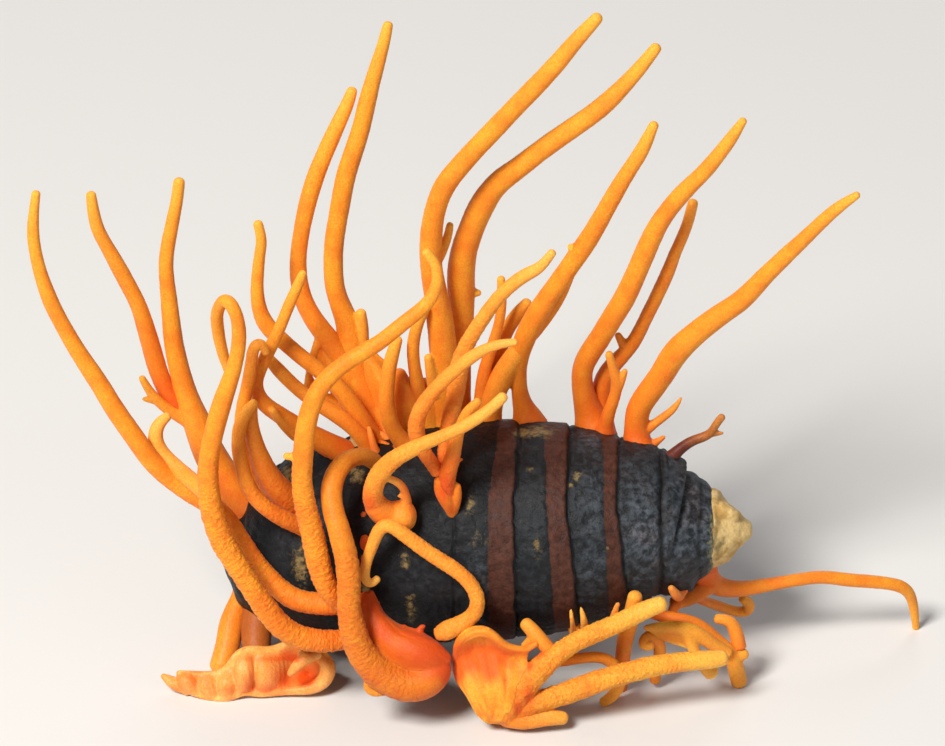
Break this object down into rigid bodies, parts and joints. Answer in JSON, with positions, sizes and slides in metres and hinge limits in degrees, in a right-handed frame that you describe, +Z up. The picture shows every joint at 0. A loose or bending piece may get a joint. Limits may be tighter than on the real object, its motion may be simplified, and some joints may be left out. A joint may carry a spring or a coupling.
{
  "type": "cordyceps bunch",
  "caption": "Orange club fungus grown from a dark ringed silk-moth pupa: slender clubs fan up behind it, curl across its front and fuse into lobes that it rests on.",
  "frame": {"origin": "on the surface that the bunch rests on, at the middle of its bounding box", "axes": "+Z up, +X towards the husk's tail end, which is the viewer's right, -Y towards the viewer"},
  "size_m": [0.047, 0.0158, 0.0388],
  "materials": {
    "husk": "matte",
    "crust": "matte",
    "club": "matte",
    "pale_club": "matte",
    "lobe": "matte"
  },
  "bodies": {
    "root": {"pupa_husk": "husk", "tail_crust": "crust", "lobe_front_right": "lobe", "lobe_front_left": "lobe", "club_front_arch": "club", "club_front_s_curve": "club", "club_front_left_hooked": "club", "club_far_left": "club", "club_rear_left_tall": "club", "club_rear_left_outer": "club", "finger_left_hook": "pale_club", "club_left_thick": "lobe", "club_left_loop": "club", "club_left_crook": "lobe", "club_left_bowed": "club", "club_rear_tall": "club", "club_rear_second": "club", "club_left_slender": "club", "club_left_slender_low": "club", "base_fan_centre": "lobe", "club_tall": "club", "club_tall_right": "club", "club_centre_left_front": "club", "club_centre_left_back": "club", "bulb_centre": "club", "club_centre_reaching": "pale_club", "club_centre_bowed": "pale_club", "club_front_curl": "pale_club", "club_front_hook": "pale_club", "club_right_tall": "club", "club_right_short_outer": "club", "club_right_short_inner": "club", "club_right_mid": "club", "club_right_mid_thin": "lobe", "twig_right_forked": "club", "club_right_long": "club", "club_right_red": "lobe", "club_front_right_lower": "club", "club_front_right_upper": "club", "club_front_right_short": "club", "stub_front_right": "club", "club_right_low_long": "club", "club_right_low_loop": "club", "club_right_under": "lobe", "club_right_arch": "club", "club_right_bent": "club", "club_right_small_hook": "club", "club_right_pale": "pale_club", "club_right_coil": "lobe", "lobe_left_ruffled": "lobe", "stem_left_outer": "lobe", "stem_left_inner": "lobe", "stub_rear_left": "club", "stub_rear_right": "club"}
  },
  "joints": []
}
